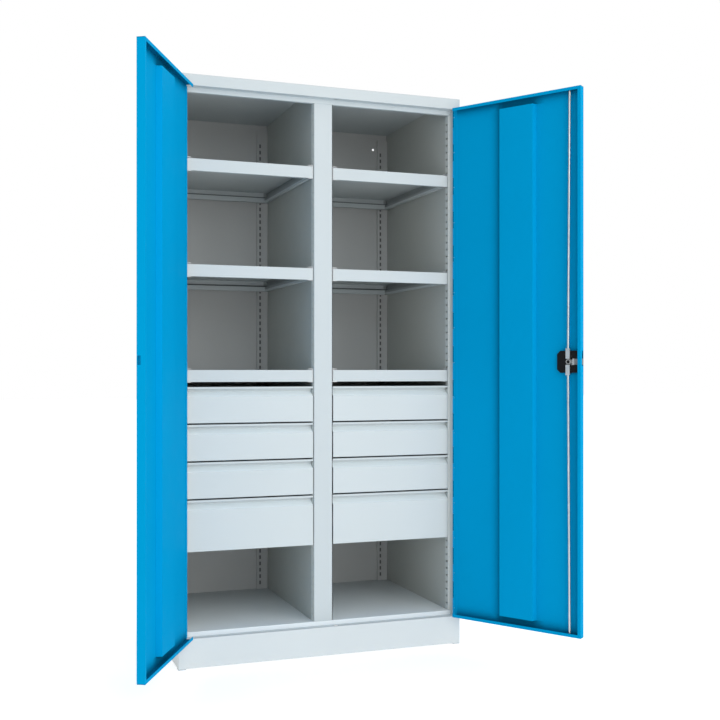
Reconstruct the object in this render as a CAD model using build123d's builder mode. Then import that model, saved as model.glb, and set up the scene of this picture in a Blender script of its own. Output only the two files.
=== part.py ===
from build123d import *
import os
from math import acos, ceil, cos, pi, radians, sin, tan

os.makedirs("parts", exist_ok=True)

# Heavy-duty storage cabinet with two hinged doors, six shelves and eight drawers.
# Millimetres, Z up, the front faces -Y, and the origin is on the floor under the middle of the case.

# Case
case_width = 1020.0
case_depth = 600.0
case_height = 1950.0
sheet = 1.2  # folded sheet of the case and the doors
inside_bend = 0.8
foot_height = 4.0
foot_side = 26.0
foot_spigot_radius = 5.0
foot_spigot_length = 10.0
plinth_height = 100.0
plinth_flange = 40.0
band_height = 38.0  # front face of the top panel
strip_height = 15.0  # recessed strips over the floor edge and under the band
strip_return = 14.0
door_rear_gap = 3.0  # shut door to the frame behind it
jamb_width = 23.0  # front face of a side panel
jamb_depth = 38.0
rear_return = 25.0
back_inset = 6.0  # back of the case to the face of the back panel
wall_fixing_radius = 4.5
wall_fixing_inset = 60.0  # from an inner wall
wall_fixing_drop = 63.0

# Slotted uprights and inner walls
upright_sheet = 1.5
upright_proud = 9.0  # slotted face in front of the jamb
wall_setback = 2.0  # inner wall behind the slotted face
partition_setback = 1.0  # partition behind the slotted face
front_upright_width = 26.0
rear_upright_width = 44.0
rear_upright_depth = 11.0
rear_upright_top_gap = 25.0
post_width = 66.0
post_upright_proud = 3.0
post_upright_setback = 4.5  # behind the face of the centre post
slot_pitch = 25.0
slot_end_margin = 25.0
front_slot_depth = 12.0
front_slot_height = 6.0
rear_slot_width = 7.0
rear_slot_height = 15.0
rear_slot_inset = 12.5

# Shelves
shelf_lip = 40.0
shelf_hem = 17.0  # height of the inner flange
shelf_hem_width = 14.0
shelf_pitch_slots = 14
shelf_over_drawers = 10.0  # least space under the lowest shelf
space_over_shelves = 150.0  # least space over the top shelf
shelf_front_setback = 4.0  # behind the face of the centre post
clip_sheet = 1.6
clip_gap = 0.4
clip_width = 14.0
clip_rise = 4.5  # above the shelf
clip_foot = 17.0  # under the shelf and over it
hook_drop = 15.0  # middle of a hook below the top of the shelf
hook_margin = 1.0  # free slot round a hook
hook_gap = 0.5  # end of a hook to the post behind it

# Hinges
barrel_radius = 3.0
pin_radius = 1.5
pin_clearance = 0.08
leaf_sheet = 1.0
barrel_clearance = 0.6
door_leaf_width = 16.0
leaf_rebate_gap = 6.8  # frame leaf to the frame behind the door
knuckle_count = 30
knuckle_gap = 0.6
hinge_end_gap = 3.0
weld_pitch = 125.0
weld_radius = 3.0
weld_height = 1.0

# Doors
door_gap = 3.0
door_depth = 25.0
door_lip = 10.5
flange_start = 10.0  # hinge line to the end of the top and bottom flanges
left_open_angle = 118.5
right_open_angle = 124.0
stiffener_shift = 9.75  # middle of the door to the middle of the stiffener
stiffener_face = 122.0
stiffener_slope = 6.5
stiffener_depth = 18.0
stiffener_end_gap = 31.0

# Lock in the right door
lock_edge_gap = 1.3  # lock case to the edge flange of the door
lock_height = 1007.0
gear_module = 2.0
gear_teeth = 10
pressure_angle = 25.0
tooth_addendum = 1.6
tooth_dedendum = 2.2
tooth_thinning = 0.35
rack_width = 5.8
rack_sheet = 3.5
layer_gap = 1.3
case_floor = 1.3
case_floor_gap = 0.4
case_wall = 2.0
lock_case_hinge_room = 16.0  # beyond the racks
lock_case_free_room = 6.5
lock_case_end_room = 1.4
lock_case_chamfer = 11.0
cover_sheet = 1.5
cover_gap = 0.5
hub_radius = 8.5
hub_recess_radius = 5.0
hub_recess_depth = 9.0
spindle_radius = 5.9
spindle_square = 8.0
running_clearance = 0.1
arm_gap = 0.8
arm_height = 5.0
stud_radius = 2.2
socket_wall = 3.0
socket_length = 34.0
bolt_half_height = 10.0
bolt_proud = 1.0  # side bolt past the edge of the door when drawn in
hub_proud = 3.5  # hub in front of the lock's cover
rod_radius = 4.0
rod_proud = 2.0  # rod past the edge of the door when drawn in
rod_end_shift = 4.5  # end of a rod from the lock towards the free edge
rod_end_inset = 15.8
rod_hole_clearance = 1.0
strike_radius = 7.0
handle_base_width = 44.0
handle_base_height = 120.0
handle_base_depth = 8.0
handle_hub_radius = 17.0
handle_depth = 18.0
handle_length = 112.0
handle_grip_width = 22.0
handle_grip_depth = 11.0
cylinder_radius = 9.0
cylinder_depth = 11.5
cylinder_proud = 0.6
keyway_width = 2.4
keyway_height = 9.0
keyway_depth = 3.0

# Drawers, from the top one down
drawer_pitches = (125.0, 125.0, 125.0, 175.0)
space_under_drawers = 261.0
drawer_gap = 4.5
drawer_front_setback = 1.0  # behind the face of the centre post
drawer_side_gap = 1.2
grip_lip = 6.6
grip_depth = 20.0
grip_wall_bottom = 17.0  # below the top of the front
grip_slope_bottom = 33.0
front_return = 30.0
tray_sheet = 1.0
tray_rear_gap = 53.0
tray_top_gap = 5.0

# Drawer runners, measured from the slotted face towards the drawer
runner_thickness = 13.0
runner_sheet = 1.2
runner_height = 45.0
runner_rear_gap = 70.0
runner_clearance = 0.4
runner_front_setback = 4.0
member_gap = 0.6
runner_lug = 20.0

# Places that follow from the sizes
bend = sheet + inside_bend
side_x = case_width / 2
front_y = -case_depth / 2
back_y = case_depth / 2
rebate_y = front_y + door_depth + door_rear_gap
back_face_y = back_y - back_inset
opening_top = case_height - band_height
floor_z = plinth_height + strip_height
strip_bottom = opening_top - strip_height
ceiling_z = case_height - sheet
jamb_x = side_x - jamb_width
upright_x = jamb_x - upright_proud
wall_x = upright_x + wall_setback
post_x = post_width / 2
post_upright_x = post_x + post_upright_proud
partition_x = post_upright_x - partition_setback
web_y = rebate_y + front_upright_width
rear_upright_y = back_face_y - rear_upright_depth
compartment_width = upright_x - post_upright_x
compartment_x = (upright_x + post_upright_x) / 2
wall_fixing_x = wall_x - wall_fixing_inset
wall_fixing_z = case_height - wall_fixing_drop

hinge_x = jamb_x - barrel_radius
hinge_y = front_y + sheet + leaf_sheet - barrel_radius
skin_outer = front_y - hinge_y  # depths in a door are measured from its hinge line
skin_inner = skin_outer + sheet
door_inner = skin_outer + door_depth
door_start = barrel_radius + barrel_clearance
door_end = hinge_x - door_gap / 2
door_bottom = plinth_height + door_gap
door_top = opening_top - door_gap
door_height = door_top - door_bottom
open_angles = {-1: left_open_angle, 1: right_open_angle}

frame_leaf_width = rebate_y - leaf_rebate_gap - hinge_y
stiffener_near = door_end / 2 + stiffener_shift - stiffener_face / 2

pitch_radius = gear_module * gear_teeth / 2
tooth_pitch = pi * gear_module
rack_teeth = ceil(gear_teeth / 4) + 2
rod_travel = pitch_radius * pi / 2
root_line = pitch_radius + tooth_dedendum
rack_back = root_line + rack_width
arm_start = pitch_radius + tooth_addendum + arm_gap
bar_start = rack_back + arm_gap
lock_case_half_height = arm_start + arm_height + rod_travel + lock_case_end_room + case_wall
lock_case_hinge_side = (rack_teeth - 1.5) * tooth_pitch + lock_case_hinge_room + case_wall
lock_case_free_side = bar_start + rod_travel + lock_case_free_room + case_wall
lock_along = door_end - sheet - lock_edge_gap - lock_case_free_side
rod_end_along = lock_along + rod_end_shift
first_layer = skin_inner + case_floor + case_floor_gap
second_layer = first_layer + rack_sheet + layer_gap
cover_back = second_layer + rack_sheet + layer_gap
cover_front = cover_back + cover_sheet
bolt_depth = cover_back - cover_gap - first_layer
socket_back = cover_front + cover_gap
socket_depth = 2 * rod_radius
socket_half_width = rod_radius + socket_wall
hub_front = cover_front + hub_proud
base_front = skin_outer - handle_base_depth
handle_back = base_front - cover_gap
handle_front = handle_back - handle_depth
spindle_end = handle_front + cylinder_depth + cover_gap


def write(piece, name):
    """Label a finished piece and write its file."""
    piece.part.label = name
    export_step(piece.part, f"parts/{name}.step")


def block(plane, start, end, height, mode=Mode.ADD):
    """Extrude the rectangle between two corners drawn on a plane."""
    with BuildSketch(plane) as outline:
        with Locations(((start[0] + end[0]) / 2, (start[1] + end[1]) / 2)):
            Rectangle(abs(end[0] - start[0]), abs(end[1] - start[1]))
    extrude(outline.sketch, amount=height, mode=mode)


def disc(plane, centre, radius, height, mode=Mode.ADD):
    """Extrude a circle drawn on a plane."""
    with BuildSketch(plane) as outline:
        with Locations(centre):
            Circle(radius)
    extrude(outline.sketch, amount=height, mode=mode)


def folded(plane, points, length, side, thickness=sheet):
    """Extrude a folded sheet, whose one face follows the points."""
    with BuildSketch(plane) as outline:
        with BuildLine():
            FilletPolyline(*points, radius=thickness + inside_bend)
            offset(amount=thickness, side=side)
        make_face()
    extrude(outline.sketch, amount=length)


# Plinth frame with its top and bottom flanges
with BuildPart() as plinth:
    with BuildSketch(Plane.XY.offset(foot_height)):
        RectangleRounded(case_width, case_depth, bend)
    extrude(amount=plinth_height - foot_height)
    with BuildSketch(Plane.XY.offset(foot_height + sheet)):
        RectangleRounded(case_width - 2 * sheet, case_depth - 2 * sheet, bend - sheet)
    extrude(amount=plinth_height - foot_height - 2 * sheet, mode=Mode.SUBTRACT)
    with BuildSketch(Plane.XY.offset(foot_height)):
        Rectangle(case_width - 2 * plinth_flange, case_depth - 2 * plinth_flange)
    extrude(amount=plinth_height, mode=Mode.SUBTRACT)
    foot_spots = GridLocations(case_width - foot_side, case_depth - foot_side, 2, 2)
    with BuildSketch(Plane.XY.offset(foot_height)):
        with foot_spots:
            Circle(foot_spigot_radius)
    extrude(amount=sheet, mode=Mode.SUBTRACT)
    strike_x = hinge_x - rod_end_along
    strike_y = hinge_y + rod_end_inset
    ledge = Plane.XY.offset(plinth_height - sheet)
    disc(ledge, (strike_x, strike_y), strike_radius, sheet, Mode.SUBTRACT)
write(plinth, "plinth")

# Pads under the four corners, each plugged into the plinth
with BuildPart() as foot_pads:
    with BuildSketch():
        with foot_spots:
            RectangleRounded(foot_side, foot_side, bend)
    extrude(amount=foot_height)
    with BuildSketch(Plane.XY.offset(foot_height)):
        with foot_spots:
            Circle(foot_spigot_radius)
    extrude(amount=foot_spigot_length)
write(foot_pads, "foot_pads")

# Side panels, each one folded sheet with its front face, its jamb and a rear return
for side, name in ((-1, "left_side_panel"), (1, "right_side_panel")):
    with BuildPart() as side_panel:
        path = (
            (side * (side_x - rear_return), back_y),
            (side * side_x, back_y),
            (side * side_x, front_y),
            (side * jamb_x, front_y),
            (side * jamb_x, front_y + jamb_depth),
        )
        fold_side = Side.RIGHT if side > 0 else Side.LEFT
        folded(Plane.XY.offset(plinth_height), path, case_height - plinth_height, fold_side)
        inner = side * (side_x - sheet)
        above = Plane.XY.offset(opening_top)
        block(above, (0, front_y), (inner, front_y + jamb_depth), band_height, Mode.SUBTRACT)
        block(above, (0, back_y - bend), (inner, back_y), band_height, Mode.SUBTRACT)
    write(side_panel, name)

# Top panel with its front band, soffit, recessed strip and rear flange
with BuildPart() as top_panel:
    path = (
        (back_y, opening_top),
        (back_y, case_height),
        (front_y, case_height),
        (front_y, opening_top),
        (rebate_y, opening_top),
        (rebate_y, strip_bottom),
        (rebate_y + strip_return, strip_bottom),
    )
    folded(Plane.YZ.offset(sheet - side_x), path, case_width - 2 * sheet, Side.LEFT)
    for side in (-1, 1):
        strip = Plane.XY.offset(strip_bottom)
        block(strip, (side * jamb_x, rebate_y - bend), (side * side_x, web_y), strip_height, Mode.SUBTRACT)
    disc(Plane.XY.offset(opening_top), (strike_x, strike_y), strike_radius, sheet, Mode.SUBTRACT)
write(top_panel, "top_panel")

# Floor panel with its front and rear edges folded down onto the plinth
with BuildPart() as floor_panel:
    path = (
        (rebate_y, plinth_height),
        (rebate_y, floor_z),
        (back_face_y, floor_z),
        (back_face_y, plinth_height),
    )
    folded(Plane.YZ.offset(-jamb_x), path, 2 * jamb_x, Side.RIGHT)
write(floor_panel, "floor_panel")

# Back panel, folded rearwards at both sides, with two holes for fixing to a wall
with BuildPart() as back_panel:
    back_edge = side_x - sheet
    path = (
        (-back_edge, back_y - bend),
        (-back_edge, back_face_y),
        (back_edge, back_face_y),
        (back_edge, back_y - bend),
    )
    folded(Plane.XY.offset(plinth_height), path, ceiling_z - plinth_height, Side.LEFT)
    for x in (-wall_fixing_x, wall_fixing_x):
        disc(Plane.XZ.offset(-back_face_y), (x, wall_fixing_z), wall_fixing_radius, -sheet, Mode.SUBTRACT)
write(back_panel, "back_panel")

# Flat inner walls behind the slotted uprights
with BuildPart() as inner_walls:
    for side in (-1, 1):
        corner = (side * (wall_x + sheet), back_face_y)
        block(Plane.XY.offset(floor_z), (side * wall_x, web_y), corner, ceiling_z - floor_z)
write(inner_walls, "inner_walls")

# Partition, one sheet folded round the back of the centre post
with BuildPart() as partition:
    path = (
        (-partition_x, back_face_y),
        (-partition_x, web_y),
        (partition_x, web_y),
        (partition_x, back_face_y),
    )
    folded(Plane.XY.offset(floor_z), path, ceiling_z - floor_z, Side.LEFT)
write(partition, "partition")

# Centre post
with BuildPart() as centre_post:
    path = ((-post_x, web_y), (-post_x, rebate_y), (post_x, rebate_y), (post_x, web_y))
    folded(Plane.XY.offset(floor_z), path, strip_bottom - floor_z, Side.LEFT)
write(centre_post, "centre_post")

# Slotted front uprights: two channels at the side walls and two angles on the centre post
slot_count = int((strip_bottom - floor_z - 2 * slot_end_margin) / slot_pitch) + 1
first_slot_z = floor_z + slot_end_margin
slot_middle_z = first_slot_z + (slot_count - 1) * slot_pitch / 2
with BuildPart() as front_uprights:
    for side in (-1, 1):
        for face_x, root_x in ((upright_x, jamb_x), (post_upright_x, post_x)):
            path = [(side * root_x, web_y), (side * face_x, web_y)]
            if face_x == upright_x:
                path += [(side * face_x, rebate_y), (side * root_x, rebate_y)]
            else:
                path += [(side * face_x, rebate_y + post_upright_setback)]
            fold_side = Side.LEFT if side * (root_x - face_x) > 0 else Side.RIGHT
            folded(Plane.XY.offset(floor_z), path, strip_bottom - floor_z, fold_side, upright_sheet)
    with BuildSketch(Plane.YZ.offset(-jamb_x)):
        with Locations(((rebate_y + web_y) / 2, slot_middle_z)):
            with GridLocations(slot_pitch, slot_pitch, 1, slot_count):
                Rectangle(front_slot_depth, front_slot_height)
    extrude(amount=2 * jamb_x, mode=Mode.SUBTRACT)
write(front_uprights, "front_uprights")

# Slotted rear uprights in the back corners of both compartments
rear_top = ceiling_z - rear_upright_top_gap
with BuildPart() as rear_uprights:
    for side in (-1, 1):
        for low_x in (wall_x - rear_upright_width, partition_x):
            near = side * low_x
            far = side * (low_x + rear_upright_width)
            path = ((near, back_face_y), (near, rear_upright_y), (far, rear_upright_y), (far, back_face_y))
            fold_side = Side.LEFT if far > near else Side.RIGHT
            folded(Plane.XY.offset(floor_z), path, rear_top - floor_z, fold_side, upright_sheet)
    outer_slot_x = wall_x - rear_upright_width + rear_slot_inset
    inner_slot_x = partition_x + rear_upright_width - rear_slot_inset
    with BuildSketch(Plane.XZ.offset(-rear_upright_y)):
        for x in (-outer_slot_x, -inner_slot_x, inner_slot_x, outer_slot_x):
            with Locations((x, slot_middle_z)):
                with GridLocations(slot_pitch, slot_pitch, 1, slot_count):
                    Rectangle(rear_slot_width, rear_slot_height)
    extrude(amount=-upright_sheet, mode=Mode.SUBTRACT)
write(rear_uprights, "rear_uprights")

# Shelves, folded trays open below with edges turned in and up, at a step of so many slots
drawer_zone_top = floor_z + space_under_drawers + sum(drawer_pitches)
lowest_hook = drawer_zone_top + shelf_over_drawers + shelf_lip - hook_drop
lowest_slot = ceil((lowest_hook - first_slot_z) / slot_pitch)
lowest_shelf = first_slot_z + lowest_slot * slot_pitch + hook_drop
shelf_pitch = shelf_pitch_slots * slot_pitch
shelf_count = int((strip_bottom - space_over_shelves - lowest_shelf) / shelf_pitch) + 1
shelf_tops = [lowest_shelf + number * shelf_pitch for number in reversed(range(shelf_count))]
shelf_side_gap = clip_sheet + clip_gap
shelf_width = compartment_width - 2 * shelf_side_gap
shelf_front = rebate_y + shelf_front_setback
shelf_back = rear_upright_y - shelf_side_gap
for side, column in ((-1, "left"), (1, "right")):
    for number, top_z in enumerate(shelf_tops, start=1):
        low_x = side * compartment_x - shelf_width / 2
        high_x = side * compartment_x + shelf_width / 2
        with BuildPart() as shelf:
            base = Plane.XY.offset(top_z - shelf_lip)
            block(base, (low_x, shelf_front), (high_x, shelf_back), shelf_lip)
            wide = ((low_x + sheet, shelf_front + sheet), (high_x - sheet, shelf_back - sheet))
            block(base.offset(sheet), *wide, shelf_lip - 2 * sheet, Mode.SUBTRACT)
            for inset, mode in ((shelf_hem_width - sheet, Mode.ADD), (shelf_hem_width, Mode.SUBTRACT)):
                near = (low_x + inset, shelf_front + inset)
                far = (high_x - inset, shelf_back - inset)
                block(base, near, far, shelf_hem, mode)
        write(shelf, f"{column}_shelf_{number}")

# Shelf clips, one hooked into an upright at each corner of each shelf, reaching round its lip
hook_length = post_upright_proud - hook_gap
hook_half_height = front_slot_height / 2 - hook_margin
front_slot_y = rebate_y + front_upright_width / 2
with BuildPart() as shelf_clips:
    for side in (-1, 1):
        for top_z in shelf_tops:
            foot = Plane.XY.offset(top_z - shelf_lip - clip_sheet)
            clip_height = clip_sheet + shelf_lip + clip_rise
            hook = Plane.XY.offset(top_z - hook_drop - hook_half_height)
            for face_x, inward in ((side * upright_x, -side), (side * post_upright_x, side)):
                near_y = front_slot_y - clip_width / 2
                far_y = front_slot_y + clip_width / 2
                block(foot, (face_x, near_y), (face_x + inward * clip_sheet, far_y), clip_height)
                for tip in (foot, foot.offset(clip_height - clip_sheet)):
                    block(tip, (face_x, near_y), (face_x + inward * clip_foot, far_y), clip_sheet)
                near_y = front_slot_y - front_slot_depth / 2 + hook_margin
                far_y = front_slot_y + front_slot_depth / 2 - hook_margin
                back_x = face_x - inward * hook_length
                block(hook, (back_x, near_y), (face_x, far_y), 2 * hook_half_height)
            for slot_x in (side * outer_slot_x, side * inner_slot_x):
                low_x = slot_x - clip_width / 2
                high_x = slot_x + clip_width / 2
                block(foot, (low_x, rear_upright_y - clip_sheet), (high_x, rear_upright_y), clip_height)
                for tip in (foot, foot.offset(clip_height - clip_sheet)):
                    block(tip, (low_x, rear_upright_y - clip_foot), (high_x, rear_upright_y), clip_sheet)
                low_x = slot_x - rear_slot_width / 2 + hook_margin
                high_x = slot_x + rear_slot_width / 2 - hook_margin
                back_hook_y = rear_upright_y + hook_length
                block(hook, (low_x, rear_upright_y), (high_x, back_hook_y), 2 * hook_half_height)
write(shelf_clips, "shelf_clips")

# Drawers with their fronts, trays and runners
drawer_width = compartment_width - 2 * drawer_side_gap
drawer_face_y = rebate_y + drawer_front_setback
tray_width = compartment_width - 2 * runner_thickness
tray_front_y = drawer_face_y + grip_depth + sheet
tray_depth = rear_upright_y - tray_rear_gap - tray_front_y
runner_start = drawer_face_y + runner_front_setback
runner_length = rear_upright_y - runner_rear_gap - runner_start
half_height = runner_height / 2
middle_half = half_height - runner_sheet - runner_clearance
inner_half = middle_half - runner_sheet - runner_clearance


def runner_channel(face_x, side, middle_z, web, flange_end, half):
    """Extrude one channel of a runner, between distances from the slotted face."""
    start = Plane.XZ.offset(-runner_start)
    back_face = face_x - side * web[0]
    front_face = face_x - side * web[1]
    block(start, (back_face, middle_z - half), (front_face, middle_z + half), -runner_length)
    for edge in (-1, 1):
        outer = (back_face, middle_z + edge * half)
        inner_corner = (face_x - side * flange_end, middle_z + edge * (half - runner_sheet))
        block(start, outer, inner_corner, -runner_length)


fixed_web = (0, runner_sheet)
middle_web = (runner_sheet + member_gap, 2 * runner_sheet + member_gap)
drawer_web = (runner_thickness, runner_thickness - runner_sheet)
fixed_flange_end = runner_thickness - 2 * runner_sheet - member_gap
middle_flange_end = runner_thickness - runner_sheet - member_gap
drawer_flange_end = 2 * runner_sheet + 2 * member_gap

runner_heights = []
for column, column_name in ((-1, "left"), (1, "right")):
    zone_z = drawer_zone_top
    for number, pitch in enumerate(drawer_pitches, start=1):
        zone_z -= pitch
        bottom_z = zone_z + drawer_gap / 2
        height = pitch - drawer_gap
        middle_z = bottom_z + height / 2
        runner_heights.append((column, middle_z))
        name = f"{column_name}_drawer_{number}"
        left_x = column * compartment_x - drawer_width / 2
        with BuildPart() as drawer_front:
            path = (
                (drawer_face_y + front_return, bottom_z),
                (drawer_face_y, bottom_z),
                (drawer_face_y, bottom_z + height - grip_slope_bottom),
                (drawer_face_y + grip_depth, bottom_z + height - grip_wall_bottom),
                (drawer_face_y + grip_depth, bottom_z + height - sheet),
                (drawer_face_y + sheet, bottom_z + height - sheet),
                (drawer_face_y + sheet, bottom_z + height - grip_lip),
            )
            folded(Plane.YZ.offset(left_x), path, drawer_width, Side.RIGHT)
        write(drawer_front, f"{name}_front")
        with BuildPart() as drawer_tray:
            tray_base = Plane.XY.offset(bottom_z + sheet)
            tray_height = height - sheet - tray_top_gap
            tray_x = column * compartment_x - tray_width / 2
            near = (tray_x, tray_front_y)
            far = (tray_x + tray_width, tray_front_y + tray_depth)
            block(tray_base, near, far, tray_height)
            inside_near = (near[0] + tray_sheet, near[1] + tray_sheet)
            inside_far = (far[0] - tray_sheet, far[1] - tray_sheet)
            block(tray_base.offset(tray_sheet), inside_near, inside_far, tray_height, Mode.SUBTRACT)
            for side in (-1, 1):
                face_x = column * compartment_x + side * compartment_width / 2
                runner_channel(face_x, side, middle_z, drawer_web, drawer_flange_end, inner_half)
        write(drawer_tray, f"{name}_tray")
        with BuildPart() as middle_runners:
            for side in (-1, 1):
                face_x = column * compartment_x + side * compartment_width / 2
                runner_channel(face_x, side, middle_z, middle_web, middle_flange_end, middle_half)
        write(middle_runners, f"{name}_middle_runners")

# Fixed runner channels, each with a tongue and a lug to the rear upright
with BuildPart() as fixed_runners:
    for column, middle_z in runner_heights:
        for side in (-1, 1):
            face_x = column * compartment_x + side * compartment_width / 2
            runner_channel(face_x, side, middle_z, fixed_web, fixed_flange_end, half_height)
            start = Plane.XZ.offset(-(runner_start + runner_length))
            tongue = rear_upright_y - runner_start - runner_length
            low_corner = (face_x, middle_z - half_height / 2)
            high_z = middle_z + half_height / 2
            block(start, low_corner, (face_x - side * runner_sheet, high_z), -tongue)
            lug = Plane.XZ.offset(-(rear_upright_y - runner_sheet))
            block(lug, low_corner, (face_x - side * runner_lug, high_z), -runner_sheet)
write(fixed_runners, "fixed_drawer_runners")


def door_plane(side, z, angle=None):
    """Plane on the hinge line, X along the shut door's case and Y into it, turned with the open door."""
    turn = radians(side * (open_angles[side] if angle is None else angle))
    return Plane(origin=(side * hinge_x, hinge_y, z), x_dir=(cos(turn), sin(turn), 0), z_dir=(0, 0, 1))


def door_block(side, along, depth, heights, mode=Mode.ADD):
    """Box in a door, from distances along it, depths into it and heights."""
    plane = door_plane(side, heights[0])
    start = (-side * along[0], depth[0])
    end = (-side * along[1], depth[1])
    block(plane, start, end, heights[1] - heights[0], mode)


# Continuous hinges: frame leaf, pin and door leaf share the barrel in turn
hinge_bottom = door_bottom + hinge_end_gap
hinge_length = door_height - 2 * hinge_end_gap
knuckle_pitch = hinge_length / knuckle_count


def knuckles(side, angle, first, bore, tab_centre, tab_size):
    """Every second knuckle of the barrel, with the tab that joins it to its leaf."""
    for number in range(first, knuckle_count, 2):
        plane = door_plane(side, hinge_bottom + number * knuckle_pitch + knuckle_gap / 2, angle)
        with BuildSketch(plane) as ring:
            Circle(barrel_radius)
            with Locations(tab_centre):
                Rectangle(*tab_size)
            Circle(bore, mode=Mode.SUBTRACT)
        extrude(ring.sketch, amount=knuckle_pitch - knuckle_gap)


leaf_near = barrel_radius - leaf_sheet
leaf_middle = barrel_radius - leaf_sheet / 2
with BuildPart() as frame_leaves:
    for side in (-1, 1):
        leaf = door_plane(side, hinge_bottom, 0)
        near = (side * leaf_near, door_start)
        block(leaf, near, (side * barrel_radius, frame_leaf_width), hinge_length)
        tab_centre = (side * leaf_middle, door_start / 2)
        knuckles(side, 0, 0, pin_radius, tab_centre, (leaf_sheet, door_start))
write(frame_leaves, "frame_hinge_leaves")

with BuildPart() as hinge_pins:
    for side in (-1, 1):
        disc(door_plane(side, hinge_bottom, 0), (0, 0), pin_radius, hinge_length)
write(hinge_pins, "hinge_pins")

weld_count = int((hinge_length - weld_pitch / 4) / weld_pitch) + 1
weld_start = hinge_bottom + (hinge_length - (weld_count - 1) * weld_pitch) / 2
for side, name in ((-1, "left"), (1, "right")):
    with BuildPart() as door_leaf:
        leaf = door_plane(side, hinge_bottom)
        near = (-side * door_start, leaf_near)
        block(leaf, near, (-side * door_leaf_width, barrel_radius), hinge_length)
        tab_centre = (-side * door_start / 2, leaf_middle)
        knuckles(side, None, 1, pin_radius + pin_clearance, tab_centre, (door_start, leaf_sheet))
        turn = door_plane(side, weld_start)
        welds = Plane(
            origin=turn.from_local_coords((-side * (door_start + door_leaf_width) / 2, barrel_radius, 0)),
            x_dir=turn.x_dir,
            z_dir=turn.y_dir,
        )
        with BuildSketch(welds) as weld_spots:
            for number in range(weld_count):
                with Locations((0, -number * weld_pitch)):
                    Circle(weld_radius)
        extrude(weld_spots.sketch, amount=weld_height)
    write(door_leaf, f"{name}_door_hinge_leaf")

# Door panels: skin, flanges round three edges and their return lips
bolt_slot_depth = (first_layer - cover_gap, first_layer + bolt_depth + cover_gap)
slot_margin = 3.0
slot_rise = 36.0
for side, name in ((-1, "left_door"), (1, "right_door")):
    with BuildPart() as door:
        heights = (door_bottom, door_top)
        door_block(side, (door_start, door_end), (skin_outer, skin_inner), heights)
        door_block(side, (door_end - sheet, door_end), (skin_outer, door_inner), heights)
        door_block(side, (door_end - door_lip, door_end), (door_inner - sheet, door_inner), heights)
        edge = (flange_start, door_end)
        for low, lip_low in ((door_bottom, door_bottom), (door_top - sheet, door_top - door_lip)):
            door_block(side, edge, (skin_outer, door_inner), (low, low + sheet))
            door_block(side, edge, (door_inner - sheet, door_inner), (lip_low, lip_low + door_lip))
        rise = slot_rise if side > 0 else bolt_half_height + slot_margin
        slot_heights = (lock_height - bolt_half_height - slot_margin, lock_height + rise)
        door_block(side, (door_end - sheet, door_end), bolt_slot_depth, slot_heights, Mode.SUBTRACT)
        if side > 0:
            hole = rod_radius + rod_hole_clearance
            for z in (door_bottom, door_top - sheet):
                disc(door_plane(side, z), (-side * rod_end_along, rod_end_inset), hole, sheet, Mode.SUBTRACT)
            across = door_plane(side, lock_height)
            skin = Plane(
                origin=across.from_local_coords((-side * lock_along, skin_outer, 0)),
                x_dir=across.x_dir,
                z_dir=across.y_dir,
            )
            disc(skin, (0, 0), spindle_radius + rod_hole_clearance, sheet, Mode.SUBTRACT)
    write(door, f"{name}_panel")

    with BuildPart() as stiffener:
        base = door_plane(side, door_bottom + stiffener_end_gap)
        near = stiffener_near
        far = stiffener_near + stiffener_face
        path = (
            (-side * (near - stiffener_slope), skin_inner),
            (-side * near, skin_inner + stiffener_depth),
            (-side * far, skin_inner + stiffener_depth),
            (-side * (far + stiffener_slope), skin_inner),
        )
        with BuildSketch(base) as outline:
            Polygon(*path, align=None)
            slope = stiffener_slope / stiffener_depth
            run = sheet * (1 + slope**2) ** 0.5
            drop = sheet * slope
            inner_path = (
                (-side * (near - stiffener_slope + run), skin_inner),
                (-side * (near + run - drop), skin_inner + stiffener_depth - sheet),
                (-side * (far - run + drop), skin_inner + stiffener_depth - sheet),
                (-side * (far + stiffener_slope - run), skin_inner),
            )
            Polygon(*inner_path, align=None, mode=Mode.SUBTRACT)
        extrude(outline.sketch, amount=door_height - 2 * stiffener_end_gap)
    write(stiffener, f"{name}_stiffener")


# Lock: a pinion drives three racks, for the upper rod, the lower rod and the side bolt

def lock_plane(depth):
    """Plane across the lock, X to the free edge of the door and Y up, seen from inside the door."""
    base = door_plane(1, lock_height)
    return Plane(
        origin=base.from_local_coords((-lock_along, depth, 0)),
        x_dir=-base.x_dir,
        z_dir=base.y_dir,
    )


def pinion_outline():
    """Involute teeth, with straight flanks inside the base circle."""
    base_radius = pitch_radius * cos(radians(pressure_angle))
    tip_radius = pitch_radius + tooth_addendum
    root_radius = pitch_radius - tooth_dedendum
    flank_angle = tan(radians(pressure_angle)) - radians(pressure_angle)
    half_tooth = (tooth_pitch / 2 - tooth_thinning) / (2 * pitch_radius) + flank_angle
    radii = [base_radius + (tip_radius - base_radius) * step / 3 for step in range(4)]
    flank = [(root_radius, half_tooth)]
    for radius in radii:
        roll = acos(base_radius / radius)
        flank.append((radius, half_tooth - (tan(roll) - roll)))
    points = []
    for tooth in range(gear_teeth):
        middle = 2 * pi * tooth / gear_teeth
        points += [(r * cos(middle - a), r * sin(middle - a)) for r, a in flank]
        points += [(r * cos(middle + a), r * sin(middle + a)) for r, a in reversed(flank)]
    return points


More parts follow.
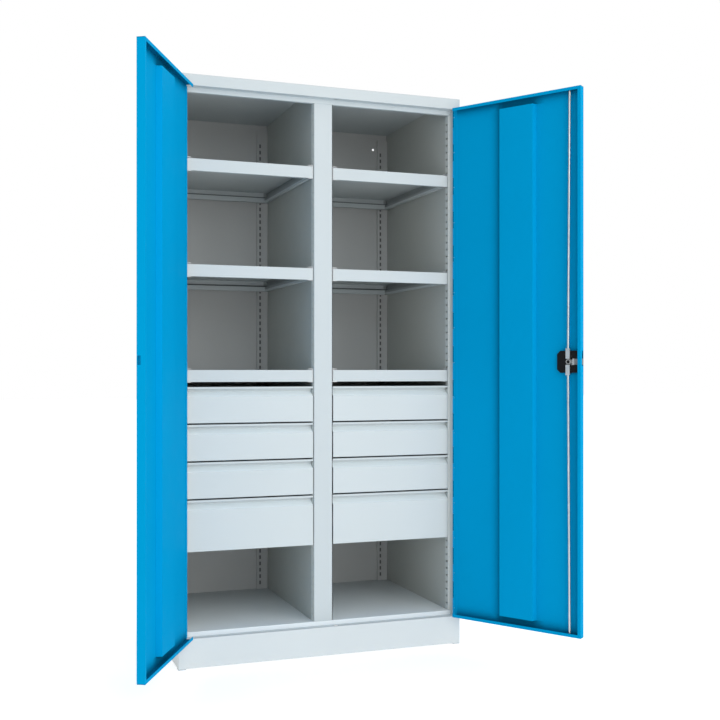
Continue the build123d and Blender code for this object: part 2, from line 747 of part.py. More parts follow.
def rack(turn, layer, end):
    """Rack bar beside the pinion: drawn above it, moving to -X, and turned about the lock's centre."""
    first_tooth = tooth_pitch * (0.5 + (-gear_teeth * (turn + 90) / 360) % 1)
    half = (tooth_pitch / 2 - tooth_thinning) / 2
    lean = tan(radians(pressure_angle))
    wide = half + tooth_dedendum * lean
    narrow = half - tooth_addendum * lean
    tip = pitch_radius - tooth_addendum
    far = (rack_teeth - 1) * tooth_pitch + tooth_pitch / 2 - first_tooth
    with BuildSketch(lock_plane(layer)) as outline:
        with Locations(Rotation(0, 0, turn)):
            Polygon((-end, root_line), (far, root_line), (far, rack_back), (-end, rack_back), align=None)
            for number in range(rack_teeth):
                middle = number * tooth_pitch - first_tooth
                root = ((middle - wide, root_line), (middle + wide, root_line))
                Polygon(*root, (middle + narrow, tip), (middle - narrow, tip), align=None)
    extrude(outline.sketch, amount=rack_sheet)


with BuildPart() as pinion:
    with BuildSketch(lock_plane(first_layer)) as teeth:
        Polygon(*pinion_outline(), align=None)
    extrude(teeth.sketch, amount=second_layer + rack_sheet - first_layer)
    disc(lock_plane(second_layer + rack_sheet), (0, 0), hub_radius, hub_front - second_layer - rack_sheet)
    recess = lock_plane(hub_front - hub_recess_depth)
    disc(recess, (0, 0), hub_recess_radius, hub_recess_depth, Mode.SUBTRACT)
    disc(lock_plane(skin_outer), (0, 0), spindle_radius, first_layer - skin_outer)
    half = spindle_square / 2
    block(lock_plane(spindle_end), (-half, -half), (half, half), skin_outer - spindle_end)
write(pinion, "lock_pinion")

for direction, name in ((1, "upper_rod"), (-1, "lower_rod")):
    with BuildPart() as rod:
        turn = -90 if direction > 0 else 90
        rack(turn, second_layer, arm_start + arm_height)
        layer = lock_plane(second_layer)
        arm_near = (-direction * stud_radius, direction * arm_start)
        arm_far = (direction * rack_back, direction * (arm_start + arm_height))
        block(layer, arm_near, arm_far, rack_sheet)
        stud_centre = (0, direction * (arm_start + arm_height / 2))
        disc(layer, stud_centre, stud_radius, socket_back - second_layer)
        socket_start = hub_radius + 2 * arm_gap
        socket = lock_plane(socket_back)
        near = (-socket_half_width, direction * socket_start)
        far = (socket_half_width, direction * (socket_start + socket_length))
        block(socket, near, far, socket_depth)
        edge_z = door_top + rod_proud if direction > 0 else door_bottom - rod_proud
        foot_z = lock_height + direction * (socket_start + socket_length - rod_radius)
        frame = door_plane(1, 0)
        foot_point = frame.from_local_coords((-lock_along, socket_back + socket_depth / 2, foot_z))
        tip_point = frame.from_local_coords((-rod_end_along, rod_end_inset, edge_z))
        run = tip_point - foot_point
        rod_plane = Plane(origin=foot_point, x_dir=frame.x_dir, z_dir=run)
        disc(rod_plane, (0, 0), rod_radius, run.length)
    write(rod, name)

bolt_tip = door_end + bolt_proud - lock_along
with BuildPart() as side_bolt:
    rack(180, first_layer, arm_start)
    plate = lock_plane(first_layer)
    block(plate, (arm_start, -rack_back), (bar_start, bolt_half_height), rack_sheet)
    block(plate, (bar_start, -bolt_half_height), (bolt_tip, bolt_half_height), bolt_depth)
write(side_bolt, "side_bolt")

case_centre = ((lock_case_free_side - lock_case_hinge_side) / 2, 0)
case_width_height = (lock_case_hinge_side + lock_case_free_side, 2 * lock_case_half_height)
with BuildPart() as lock_case:
    with BuildSketch(lock_plane(skin_inner)) as shell:
        with Locations(case_centre):
            Rectangle(*case_width_height)
        chamfer(shell.vertices(), lock_case_chamfer)
    extrude(amount=cover_back - skin_inner)
    with BuildSketch(lock_plane(skin_inner + case_floor)) as hollow:
        with Locations(case_centre):
            Rectangle(case_width_height[0] - 2 * case_wall, case_width_height[1] - 2 * case_wall)
        chamfer(hollow.vertices(), lock_case_chamfer)
    extrude(amount=cover_back, mode=Mode.SUBTRACT)
    disc(lock_plane(skin_inner), (0, 0), spindle_radius + running_clearance, case_floor, Mode.SUBTRACT)
    window = lock_plane(first_layer - case_floor_gap)
    half = bolt_half_height + cover_gap
    wall = lock_case_free_side - case_wall
    block(window, (wall, -half), (lock_case_free_side, half), cover_back, Mode.SUBTRACT)

with BuildPart() as lock_cover:
    with BuildSketch(lock_plane(cover_back)) as plate:
        with Locations(case_centre):
            Rectangle(*case_width_height)
        chamfer(plate.vertices(), lock_case_chamfer)
        Circle(hub_radius + cover_gap, mode=Mode.SUBTRACT)
        with Locations((lock_case_free_side / 2, 0)):
            Rectangle(lock_case_free_side, 2 * half, mode=Mode.SUBTRACT)
        for direction in (-1, 1):
            stud_middle = direction * (arm_start + arm_height / 2 + rod_travel / 2)
            with Locations((0, stud_middle)):
                width = 2 * (stud_radius + cover_gap)
                SlotCenterToCenter(rod_travel, width, rotation=90, mode=Mode.SUBTRACT)
    extrude(amount=cover_sheet)

lock_shell = Compound(label="lock_case", children=[lock_case.part, lock_cover.part])
export_step(lock_shell, "parts/lock_case.step")

# Outer handle with its base plate and key cylinder
with BuildPart() as handle_base:
    with BuildSketch(lock_plane(base_front)):
        with Locations((0, -(handle_base_height - handle_base_width) / 2)):
            RectangleRounded(handle_base_width, handle_base_height, handle_base_width / 2 - 1)
        Circle(spindle_radius + rod_hole_clearance, mode=Mode.SUBTRACT)
    extrude(amount=handle_base_depth)
    chamfer(handle_base.faces().sort_by(Axis((0, 0, 0), lock_plane(0).z_dir))[0].outer_wire().edges(), 2)
write(handle_base, "handle_base")

with BuildPart() as door_handle:
    disc(lock_plane(handle_front), (0, 0), handle_hub_radius, handle_depth)
    with BuildSketch(lock_plane(handle_front)):
        with Locations((-(handle_length - handle_grip_width) / 2, 0)):
            SlotCenterToCenter(handle_length - handle_grip_width, handle_grip_width)
    extrude(amount=handle_grip_depth)
    chamfer(door_handle.faces().sort_by(Axis((0, 0, 0), lock_plane(0).z_dir))[0].outer_wire().edges(), 1.5)
    cylinder_bore = cylinder_radius + running_clearance
    disc(lock_plane(handle_front), (0, 0), cylinder_bore, cylinder_depth, Mode.SUBTRACT)
    half = spindle_square / 2
    block(lock_plane(handle_front), (-half, -half), (half, half), handle_depth, Mode.SUBTRACT)
write(door_handle, "door_handle")

with BuildPart() as key_cylinder:
    face = lock_plane(handle_front - cylinder_proud)
    disc(face, (0, 0), cylinder_radius, cylinder_depth + cylinder_proud - running_clearance)
    half_width = keyway_width / 2
    half_height = keyway_height / 2
    block(face, (-half_width, -half_height), (half_width, half_height), keyway_depth, Mode.SUBTRACT)
write(key_cylinder, "key_cylinder")
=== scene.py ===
import math
from functools import partial

import bpy
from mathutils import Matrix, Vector

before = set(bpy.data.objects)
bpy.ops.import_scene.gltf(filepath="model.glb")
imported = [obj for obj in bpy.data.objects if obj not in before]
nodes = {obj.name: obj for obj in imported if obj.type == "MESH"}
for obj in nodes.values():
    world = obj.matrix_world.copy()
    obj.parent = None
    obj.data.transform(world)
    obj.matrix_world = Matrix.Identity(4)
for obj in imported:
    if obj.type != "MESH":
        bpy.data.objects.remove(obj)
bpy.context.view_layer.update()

# Camera: level, a little below the middle of the case, seen from the left of its front
CAMERA_PLACE = (-1.1518, -3.5005, 0.9787)
CAMERA_TURN = 18.601
CAMERA_LENS = 49.718
CAMERA_SHIFT = (0.0761, 0.0144)

camera_data = bpy.data.cameras.new("camera")
camera = bpy.data.objects.new("camera", camera_data)
bpy.context.scene.collection.objects.link(camera)
camera_data.sensor_width = 36.0
camera_data.lens = CAMERA_LENS
camera_data.shift_x, camera_data.shift_y = CAMERA_SHIFT
camera.location = CAMERA_PLACE
camera.rotation_euler = (math.radians(90), 0, -math.radians(CAMERA_TURN))
camera_data.clip_start = 0.05
camera_data.clip_end = 100
bpy.context.scene.camera = camera
bpy.context.scene.view_settings.view_transform = "Standard"


class Graph:
    """A material's node tree, with short ways to add and join nodes."""

    def __init__(self, name):
        self.material = bpy.data.materials.new(name)
        self.material.use_nodes = True
        self.tree = self.material.node_tree
        self.shader = self.tree.nodes["Principled BSDF"]
        self.coord = self.add("ShaderNodeTexCoord")

    def add(self, kind, **inputs):
        node = self.tree.nodes.new(kind)
        for name, value in inputs.items():
            node.inputs[name].default_value = value
        return node

    def join(self, source, target):
        self.tree.links.new(source, target)

    def place(self, scale=(1, 1, 1)):
        mapping = self.add("ShaderNodeMapping")
        mapping.inputs["Scale"].default_value = scale
        self.join(self.coord.outputs["Object"], mapping.inputs["Vector"])
        return mapping.outputs["Vector"]

    def noise(self, scale, detail=2.0, rough=0.5, stretch=(1, 1, 1)):
        node = self.add("ShaderNodeTexNoise", Scale=scale, Detail=detail, Roughness=rough)
        self.join(self.place(stretch), node.inputs["Vector"])
        return node.outputs["Fac"]

    def spread(self, source, low, high, start=0.3, end=0.7):
        node = self.add("ShaderNodeMapRange")
        node.inputs["From Min"].default_value = start
        node.inputs["From Max"].default_value = end
        node.inputs["To Min"].default_value = low
        node.inputs["To Max"].default_value = high
        self.join(source, node.inputs["Value"])
        return node.outputs["Result"]

    def mix(self, factor, first, second, blend="MIX"):
        node = self.tree.nodes.new("ShaderNodeMix")
        node.data_type = "RGBA"
        node.blend_type = blend
        for value, index in ((factor, 0), (first, 6), (second, 7)):
            if isinstance(value, (float, int)):
                node.inputs[index].default_value = value
            elif isinstance(value, tuple):
                node.inputs[index].default_value = (*value, 1.0)
            else:
                self.join(value, node.inputs[index])
        return node.outputs[2]

    def maths(self, operation, first, second=0.0):
        node = self.tree.nodes.new("ShaderNodeMath")
        node.operation = operation
        for value, socket in ((first, node.inputs[0]), (second, node.inputs[1])):
            if isinstance(value, (float, int)):
                socket.default_value = value
            else:
                self.join(value, socket)
        return node.outputs["Value"]

    def above(self, source, limit):
        return self.maths("GREATER_THAN", source, limit)

    def below(self, source, limit):
        return self.maths("LESS_THAN", source, limit)

    def between(self, source, low, high):
        """1 where a value lies between two others, and 0 elsewhere."""
        return self.both(self.above(source, low), self.below(source, high))

    def both(self, first, second):
        return self.maths("MULTIPLY", first, second)

    def either(self, first, second):
        return self.maths("MAXIMUM", first, second)

    def level(self, z, start, step):
        """Height within one of many equal steps, the first of which starts at a height."""
        return self.maths("MODULO", self.maths("SUBTRACT", z, start), step)

    def axes(self):
        split = self.tree.nodes.new("ShaderNodeSeparateXYZ")
        self.join(self.coord.outputs["Object"], split.inputs["Vector"])
        return split.outputs["X"], split.outputs["Y"], split.outputs["Z"]

    def edges(self, radius):
        """Soft corners: the bevelled normal, for a bump to start from."""
        node = self.add("ShaderNodeBevel", Radius=radius)
        node.samples = 4
        return node.outputs["Normal"]

    def bump(self, height, strength, distance, normal=None):
        node = self.add("ShaderNodeBump", Strength=strength, Distance=distance)
        self.join(height, node.inputs["Height"])
        if normal is not None:
            self.join(normal, node.inputs["Normal"])
        return node.outputs["Normal"]


# Grain of the materials, as noise scales, about the number of spots in a metre
COAT_CLOUDS = 3.0
COAT_FLECKS = 2600.0
COAT_WORN = 14.0
COAT_PEEL = 900.0
ZINC_CLOUDS = 40.0
ZINC_LINES = 900.0
MOULD_CLOUDS = 60.0
MOULD_WORN = 200.0
MOULD_GRAIN = 1500.0


def scaled(colour, factor):
    return tuple(c * factor for c in colour)


def powder_coat(name, colour, rough=0.45, bevel=0.0006, shine=0.3, marks=()):
    """Powder coat: a fine orange peel, faint cloudy shading and soft folded corners.

    Marks are places, each a mask, painted in another colour: most of them painted shade and painted light."""
    g = Graph(name)
    cloud = g.spread(g.noise(COAT_CLOUDS, 3.0), 0.0, 1.0)
    fleck = g.spread(g.noise(COAT_FLECKS, 1.0), 0.0, 1.0)
    base = g.mix(cloud, colour, scaled(colour, 0.95))
    base = g.mix(fleck, base, scaled(colour, 0.97))
    for mask, other in marks:
        base = g.mix(mask(g), base, other)
    g.join(base, g.shader.inputs["Base Color"])
    g.join(g.spread(g.noise(COAT_WORN, 3.0), rough - 0.05, rough + 0.06), g.shader.inputs["Roughness"])
    g.join(g.bump(g.noise(COAT_PEEL, 2.0), 0.2, 0.0004, g.edges(bevel)), g.shader.inputs["Normal"])
    g.shader.inputs["Specular IOR Level"].default_value = shine
    return g.material


def zinc(name, colour, rough=0.32, stretch=(1, 1, 60)):
    """Bright zinc: drawn lines along the piece and small dull clouds."""
    g = Graph(name)
    cloud = g.spread(g.noise(ZINC_CLOUDS, 4.0), 0.0, 1.0)
    g.join(g.mix(cloud, colour, scaled(colour, 0.82)), g.shader.inputs["Base Color"])
    g.shader.inputs["Metallic"].default_value = 1.0
    lines = g.noise(ZINC_LINES, 2.0, 0.6, tuple(1 / s for s in stretch))
    g.join(g.spread(lines, rough - 0.07, rough + 0.10), g.shader.inputs["Roughness"])
    g.join(g.bump(lines, 0.12, 0.0002, g.edges(0.0003)), g.shader.inputs["Normal"])
    return g.material


def moulded(name, colour, rough=0.5, shine=0.5, marks=()):
    """Moulded plastic or cast metal with a fine grain."""
    g = Graph(name)
    cloud = g.spread(g.noise(MOULD_CLOUDS, 3.0), 0.0, 1.0)
    base = g.mix(cloud, colour, scaled(colour, 1.25))
    for mask, other in marks:
        base = g.mix(mask(g), base, other)
    g.join(base, g.shader.inputs["Base Color"])
    g.join(g.spread(g.noise(MOULD_WORN, 2.0), rough - 0.06, rough + 0.08), g.shader.inputs["Roughness"])
    g.join(g.bump(g.noise(MOULD_GRAIN, 2.0), 0.15, 0.0003, g.edges(0.0006)), g.shader.inputs["Normal"])
    g.shader.inputs["Specular IOR Level"].default_value = shine
    return g.material


# Colours, linear. The case has one light grey coat; INNER_GREY and WALL_GREY are darker copies of it as painted
# shade, and DRAWER_GREY, UPRIGHT_GREY, FLOOR_GREY and PLINTH_GREY lighter copies as painted light.
LIGHT_GREY = (0.56, 0.607, 0.62)
# painted shade: a darker copy of the case's grey, for the inside of the case
INNER_GREY = (0.56, 0.565, 0.56)
# painted shade: a darker copy still, for the inner walls and the partition
WALL_GREY = (0.50, 0.52, 0.495)
# painted light: a lighter copy of the case's grey, for the drawer fronts
DRAWER_GREY = (0.59, 0.638, 0.648)
# painted light: a lighter copy of the case's grey, for the front uprights
UPRIGHT_GREY = (0.64, 0.67, 0.65)
# painted light: a much lighter copy of the case's grey, for the floor panel
FLOOR_GREY = (0.83, 0.88, 0.90)
# painted light: a lighter copy of the case's grey, for the plinth
PLINTH_GREY = (0.63, 0.67, 0.68)
BLUE = (0.0, 0.303, 0.595)
WELD_BLUE = (0.10, 0.39, 0.62)

# Places in the case: across from its middle, back from its middle, or up
UPRIGHT_BY_WALL = (0.4375, 0.4785)
UPRIGHT_BY_POST = (0.0365, 0.0775)
UPRIGHT_TOP = 1.923
BACK_MIDDLE = 0.2946  # half way through the back panel
POST_EDGE_BACK = -0.2662
KNUCKLE_BACK = (-0.2985, -0.2975)  # where the frame leaf ends and its knuckles start
FLOOR_SHADE = (-0.25, 0.25)  # where the shade on the floor panel starts and is full

SHELF_STEP = 0.35
SHELF_BOTTOM = 0.94  # underside of the lowest shelves
SHELF_ENDS = (0.0535, 0.4605)  # inner faces of a shelf's edges, across
SHELF_FRONT_EDGE = -0.262
SHELF_REAR_EDGE = 0.2675
SHELF_SIDE_LEVELS = (0.008, 0.0388)  # over the underside
SHELF_SLIT_LEVELS = (0.0172, 0.0235)

DRAWER_STEP = 0.125
DRAWER_TOP = 0.54875  # top of the lowest drawers' fronts
DRAWER_ZONE = 0.5  # a height just under the grips of the lowest drawers
DRAWER_BASE = 0.05  # a drawer's levels are measured from this far under its top
DRAWER_TOP_LEVELS = (0.0497, 0.0503)
DRAWER_SLOPE_LEVELS = (0.0172, 0.0335)
DRAWER_TOP_FRONT = -0.2692
DRAWER_SLOPE_BACK = (-0.2706, -0.2506)

SPINDLE = (0.728363, -0.663083, 1.007)
SPINDLE_ACROSS = (0.559193, -0.829038)
SPINDLE_RADIUS = 0.0052


def behind_slots(g):
    """Painted shade: the back panel's inner face behind the rear uprights, where little light comes, painted
    dark.
    """
    x, y, z = g.axes()
    off = g.maths("ABSOLUTE", x)
    bands = g.either(g.between(off, *UPRIGHT_BY_WALL), g.between(off, *UPRIGHT_BY_POST))
    inner = g.both(g.below(z, UPRIGHT_TOP), g.below(y, BACK_MIDDLE))
    return g.both(bands, inner)


def back_outside(g):
    """The back panel's outer face, coated like the outside of the case."""
    x, y, z = g.axes()
    return g.above(y, BACK_MIDDLE)


def knuckles(g):
    """The knuckles of the frame leaves, in the colour of the doors."""
    x, y, z = g.axes()
    return g.spread(y, 1.0, 0.0, *KNUCKLE_BACK)


def shelf_flange_sides(g):
    """Painted shade on the inner faces of a shelf's edges at its two ends."""
    x, y, z = g.axes()
    off = g.maths("ABSOLUTE", x)
    ends = g.either(g.below(off, SHELF_ENDS[0]), g.above(off, SHELF_ENDS[1]))
    inside = g.both(ends, g.above(y, SHELF_FRONT_EDGE))
    return g.both(inside, g.between(g.level(z, SHELF_BOTTOM, SHELF_STEP), *SHELF_SIDE_LEVELS))


def shelf_rear_slit(g):
    """Painted shadow at the foot of a shelf's rear edge, just over the flange in front of it."""
    x, y, z = g.axes()
    levels = g.between(g.level(z, SHELF_BOTTOM, SHELF_STEP), *SHELF_SLIT_LEVELS)
    return g.both(g.above(y, SHELF_REAR_EDGE), levels)


def floor_rear(g):
    """Painted shade, growing towards the back of the floor panel."""
    x, y, z = g.axes()
    return g.spread(y, 0.0, 1.0, *FLOOR_SHADE)


def drawer_levels(g, z, levels):
    """Heights that recur from drawer to drawer."""
    level = g.level(z, DRAWER_TOP - DRAWER_STEP - DRAWER_BASE, DRAWER_STEP)
    return g.both(g.between(level, *levels), g.above(z, DRAWER_ZONE))


def drawer_tops(g):
    """Painted shade: the flat top of a drawer's front, behind its rounded edge, painted dark like the gap over
    it.
    """
    x, y, z = g.axes()
    return g.both(drawer_levels(g, z, DRAWER_TOP_LEVELS), g.above(y, DRAWER_TOP_FRONT))


def drawer_slopes(g):
    """Painted light: the slope under the grip of a drawer's front, painted lighter as though lit from the front.
    """
    x, y, z = g.axes()
    return g.both(drawer_levels(g, z, DRAWER_SLOPE_LEVELS), g.between(y, *DRAWER_SLOPE_BACK))


def post_edges(g):
    """Painted shade: the front edge of the upright on the right of the centre post, painted near black where the
    post's face shades it.
    """
    x, y, z = g.axes()
    return g.both(g.between(x, 0.0, UPRIGHT_BY_POST[0]), g.below(y, POST_EDGE_BACK))


def spindle_hole(g):
    """Painted shade: the hub painted near black inside the hole in its middle."""
    x, y, z = g.axes()
    first = g.maths("MULTIPLY", g.maths("SUBTRACT", x, SPINDLE[0]), SPINDLE_ACROSS[0])
    second = g.maths("MULTIPLY", g.maths("SUBTRACT", y, SPINDLE[1]), SPINDLE_ACROSS[1])
    along = g.maths("ADD", first, second)
    up = g.maths("SUBTRACT", z, SPINDLE[2])
    squared = g.maths("ADD", g.maths("MULTIPLY", along, along), g.maths("MULTIPLY", up, up))
    return g.below(squared, SPINDLE_RADIUS**2)


# Places on a door: along it from its hinge, deep into it from its outer face, or up
HINGE = (0.484, -0.3008)
OPEN_ANGLE = {"left": -118.5, "right": 124.0}
DOOR_END = 0.4825
DOOR_HEIGHTS = (0.103, 1.909)
SKIN_DEPTHS = (0.0015, 0.0023)  # round the skin's inner face
FLANGE_DEPTHS = (0.0023, 0.0245)
FLANGE_INSET = (0.0006, 0.0020)  # round a flange's inner face, from the door's end
STIFFENER = (0.1835, 0.3185)  # its feet
STIFFENER_GAP = 0.0315  # from its ends to the door's
STIFFENER_SLOPE = 0.0065
CORNER_WIDTH = 0.045  # how far the shade of a corner reaches
EDGE_SHADE = (DOOR_END - 0.050, DOOR_END - 0.010)  # where it starts and is full
POCKET_START = (STIFFENER[0] - 0.02, STIFFENER[0] + 0.01)
POCKET_FINISH = (STIFFENER[1] - 0.01, STIFFENER[1] + 0.03)
LEAF_EDGE = 0.0035
FIRST_WELD = 0.131
WELD_STEP = 0.125
WELD_BASE = 0.05  # welds are measured from this far under them
WELD_HEIGHTS = (0.0482, 0.0518)
WELD_ALONG = (0.0020, 0.0065)


def door_axes(g, side):
    """Distance along an open door from its hinge, depth into it, and height."""
    x, y, z = g.axes()
    sign = 1 if side == "right" else -1
    turn = math.radians(OPEN_ANGLE[side])
    across = g.maths("SUBTRACT", x, sign * HINGE[0])
    ahead = g.maths("SUBTRACT", y, HINGE[1])
    along = g.maths(
        "ADD",
        g.maths("MULTIPLY", across, -sign * math.cos(turn)),
        g.maths("MULTIPLY", ahead, -sign * math.sin(turn)),
    )
    deep = g.maths(
        "ADD",
        g.maths("MULTIPLY", across, -math.sin(turn)),
        g.maths("MULTIPLY", ahead, math.cos(turn)),
    )
    return along, deep, z


def door_edge(g, side):
    """Painted shade on the skin's inner face beside the lip of the free edge."""
    along, deep, z = door_axes(g, side)
    return g.both(g.spread(along, 0.0, 1.0, *EDGE_SHADE), g.between(deep, *SKIN_DEPTHS))


def door_corners(g, side):
    """Painted shade on the skin's inner face beside the stiffener and under the end flanges."""
    along, deep, z = door_axes(g, side)
    beside = g.both(
        g.spread(along, 0.0, 1.0, STIFFENER[0] - CORNER_WIDTH, STIFFENER[0]),
        g.below(along, STIFFENER[0] + 0.001),
    )
    bottom, top = DOOR_HEIGHTS
    ends = g.either(
        g.spread(z, 0.0, 1.0, top - CORNER_WIDTH, top - FLANGE_INSET[1]),
        g.spread(z, 1.0, 0.0, bottom + FLANGE_INSET[1], bottom + CORNER_WIDTH),
    )
    shade = g.either(beside, ends)
    return g.both(g.both(shade, shade), g.between(deep, *SKIN_DEPTHS))


def door_pockets(g, side):
    """Painted shade on the skin between the stiffener's ends and the end flanges."""
    along, deep, z = door_axes(g, side)
    bottom, top = DOOR_HEIGHTS
    ends = g.either(g.above(z, top - STIFFENER_GAP), g.below(z, bottom + STIFFENER_GAP))
    strip = g.both(g.spread(along, 0.0, 1.0, *POCKET_START), g.spread(along, 1.0, 0.0, *POCKET_FINISH))
    return g.both(g.both(ends, strip), g.between(deep, *SKIN_DEPTHS))


def door_flanges(g, side):
    """Painted shade on the inner faces of the door's top and bottom flanges."""
    along, deep, z = door_axes(g, side)
    bottom, top = DOOR_HEIGHTS
    near, far = FLANGE_INSET
    faces = g.either(g.between(z, top - far, top - near), g.between(z, bottom + near, bottom + far))
    return g.both(faces, g.between(deep, *FLANGE_DEPTHS))


def stiffener_side(g, side):
    """Painted light: the stiffener's far slope, which faces the light, painted lighter."""
    along, deep, z = door_axes(g, side)
    return g.above(along, STIFFENER[1] - STIFFENER_SLOPE)


def leaf_edge(g, side):
    """Painted shade: the door leaf beside the knuckles, painted darker where the hinge shades it."""
    along, deep, z = door_axes(g, side)
    return g.below(along, LEAF_EDGE)


def door_welds(g, side):
    """Lighter blue dots down the door leaf, at its spot welds."""
    along, deep, z = door_axes(g, side)
    level = g.level(z, FIRST_WELD - WELD_BASE, WELD_STEP)
    return g.both(g.between(level, *WELD_HEIGHTS), g.between(along, *WELD_ALONG))


# Materials; their marks darken or lighten the coat as painted shade and painted light, except the knuckles'
# blue, the back panel's outer face and the dots at the door welds
materials = {
    "case": powder_coat("case_paint", LIGHT_GREY),
    "shelf": powder_coat(
        "shelf_paint",
        LIGHT_GREY,
        marks=[
            (shelf_flange_sides, scaled(LIGHT_GREY, 0.62)),
            (shelf_rear_slit, scaled(LIGHT_GREY, 0.35)),
        ],
    ),
    "upright": powder_coat("upright_paint", UPRIGHT_GREY, marks=[(post_edges, (0.05, 0.05, 0.055))]),
    "back": powder_coat(
        "back_paint", INNER_GREY, marks=[(behind_slots, (0.17, 0.17, 0.17)), (back_outside, LIGHT_GREY)]
    ),
    "floor": powder_coat("floor_panel_paint", FLOOR_GREY, marks=[(floor_rear, scaled(FLOOR_GREY, 0.66))]),
    "plinth": powder_coat("plinth_paint", PLINTH_GREY),
    "inner": powder_coat("inner_paint", INNER_GREY),
    "wall": powder_coat("wall_paint", WALL_GREY),
    "drawer": powder_coat(
        "drawer_paint",
        DRAWER_GREY,
        rough=0.4,
        marks=[(drawer_tops, scaled(DRAWER_GREY, 0.4)), (drawer_slopes, scaled(DRAWER_GREY, 1.3))],
    ),
    "frame_leaf": powder_coat(
        "frame_leaf_paint", LIGHT_GREY, rough=0.5, bevel=0.0003, shine=0.1, marks=[(knuckles, BLUE)]
    ),
    "zinc": zinc("zinc_plate", (0.62, 0.63, 0.65), stretch=(1, 60, 1)),
    "rod": zinc("rod_steel", (0.64, 0.68, 0.69), rough=0.34),
    "pin": zinc("pin_steel", (0.55, 0.55, 0.56)),
    "black": moulded("lock_black", (0.007, 0.007, 0.0075), shine=0.12),
    "hub": moulded("lock_grey", (0.28, 0.285, 0.285), rough=0.45, marks=[(spindle_hole, (0.002, 0.002, 0.002))]),
    "bolt": moulded("bolt_grey", (0.17, 0.175, 0.18), rough=0.45),
    "handle": moulded("handle_black", (0.016, 0.016, 0.018), rough=0.32),
    "chrome": zinc("key_chrome", (0.80, 0.80, 0.82), rough=0.12, stretch=(1, 1, 1)),
    "foot": moulded("foot_plastic", (0.46, 0.49, 0.50), rough=0.6),
}

DOOR_COAT = {"rough": 0.6, "shine": 0.01}
for side in ("left", "right"):
    # painted shade on the door panel's inner face, its corners, pockets and flanges
    panel_marks = [
        (partial(door_edge, side=side), scaled(BLUE, 0.75)),
        (partial(door_corners, side=side), scaled(BLUE, 0.5)),
        (partial(door_pockets, side=side), scaled(BLUE, 0.45)),
        (partial(door_flanges, side=side), scaled(BLUE, 0.45)),
    ]
    # painted light on the stiffener's far slope
    stiffener_marks = [(partial(stiffener_side, side=side), scaled(BLUE, 1.08))]
    # painted shade on the leaf beside the knuckles, and lighter dots at the welds
    leaf_marks = [
        (partial(leaf_edge, side=side), scaled(BLUE, 0.6)),
        (partial(door_welds, side=side), WELD_BLUE),
    ]
    materials[side + "_panel"] = powder_coat(side + "_panel_paint", BLUE, marks=panel_marks, **DOOR_COAT)
    materials[side + "_stiffener"] = powder_coat(
        side + "_stiffener_paint", BLUE, marks=stiffener_marks, **DOOR_COAT
    )
    materials[side + "_leaf"] = powder_coat(
        side + "_leaf_paint", BLUE, bevel=0.0003, marks=leaf_marks, **DOOR_COAT
    )


def look(node_name):
    """The material that a node shows."""
    if node_name.startswith(("left_door_", "right_door_")):
        return node_name.split("_")[0] + "_" + node_name.split("_")[-1]
    if "_shelf_" in node_name:
        return "shelf"
    if node_name.endswith(("_front", "_tray")) and "drawer" in node_name:
        return "drawer"
    if node_name.endswith("runners"):
        return "zinc"
    named = {
        "inner_walls": "wall",
        "partition": "wall",
        "shelf_clips": "zinc",
        "plinth": "plinth",
        "back_panel": "back",
        "rear_uprights": "inner",
        "front_uprights": "upright",
        "floor_panel": "floor",
        "frame_hinge_leaves": "frame_leaf",
        "hinge_pins": "pin",
        "upper_rod": "rod",
        "lower_rod": "rod",
        "side_bolt": "bolt",
        "lock_case": "black",
        "lock_pinion": "hub",
        "handle_base": "handle",
        "door_handle": "handle",
        "key_cylinder": "chrome",
        "foot_pads": "foot",
    }
    return named.get(node_name, "case")


for node_name, node in nodes.items():
    node.data.materials.clear()
    node.data.materials.append(materials[look(node_name)])

# Floor: plain and pale, wide enough to reach past every view
FLOOR_WIDTH = 60.0
FLOOR_GLOW = 0.42

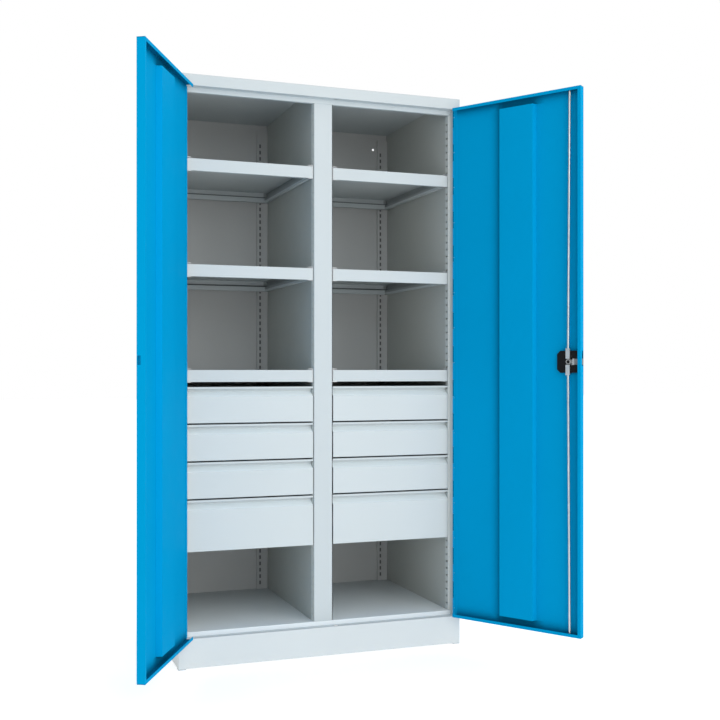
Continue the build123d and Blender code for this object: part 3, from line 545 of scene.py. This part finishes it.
bpy.ops.mesh.primitive_plane_add(size=FLOOR_WIDTH, location=(0, 0, 0))
floor = bpy.context.object
floor.name = "floor"
floor_graph = Graph("floor_paint")
floor_clouds = floor_graph.spread(floor_graph.noise(1.5), 0, 1)
floor_graph.join(
    floor_graph.mix(floor_clouds, (0.93, 0.93, 0.93), (0.90, 0.90, 0.90)),
    floor_graph.shader.inputs["Base Color"],
)
floor_graph.shader.inputs["Roughness"].default_value = 0.9
floor_graph.shader.inputs["Emission Color"].default_value = (1, 1, 1, 1)
floor_graph.shader.inputs["Emission Strength"].default_value = FLOOR_GLOW
floor.data.materials.append(floor_graph.material)

# Light: a bright even sky, dimmer on the left, and two large soft lamps
SKY_LEFT = 0.48  # brightness of the sky on the left, where ahead and right are 1
SKY_EDGE = (-0.9, -0.05)  # between these sideways parts of a direction the sky brightens

world = bpy.data.worlds.new("studio")
bpy.context.scene.world = world
world.use_nodes = True
sky = world.node_tree.nodes["Background"]
sky.inputs["Strength"].default_value = 1.0
sky_place = world.node_tree.nodes.new("ShaderNodeTexCoord")
sky_split = world.node_tree.nodes.new("ShaderNodeSeparateXYZ")
sky_range = world.node_tree.nodes.new("ShaderNodeMapRange")
sky_range.inputs["From Min"].default_value = SKY_EDGE[0]
sky_range.inputs["From Max"].default_value = SKY_EDGE[1]
sky_range.inputs["To Min"].default_value = SKY_LEFT
sky_range.inputs["To Max"].default_value = 1.0
world.node_tree.links.new(sky_place.outputs["Generated"], sky_split.inputs["Vector"])
world.node_tree.links.new(sky_split.outputs["X"], sky_range.inputs["Value"])
world.node_tree.links.new(sky_range.outputs["Result"], sky.inputs["Color"])


def lamp(name, place, aim, size, power, colour=(1, 1, 1)):
    """A rectangular lamp in metres and watts, turned towards its aim."""
    data = bpy.data.lights.new(name, "AREA")
    data.color = colour
    data.shape = "RECTANGLE"
    data.size, data.size_y = size
    data.energy = power
    item = bpy.data.objects.new(name, data)
    bpy.context.scene.collection.objects.link(item)
    item.location = place
    item.rotation_euler = (Vector(aim) - Vector(place)).to_track_quat("-Z", "Y").to_euler()


lamp("key_light", place=(2.8, -4.6, 1.6), aim=(-0.4, -0.3, 0.8), size=(2.4, 2.4), power=38)
lamp(
    "high_light",
    place=(-0.4, -4.4, 2.6),
    aim=(0.0, -0.3, 0.1),
    size=(2.4, 2.0),
    power=30,
    colour=(0.86, 0.95, 1.0),
)
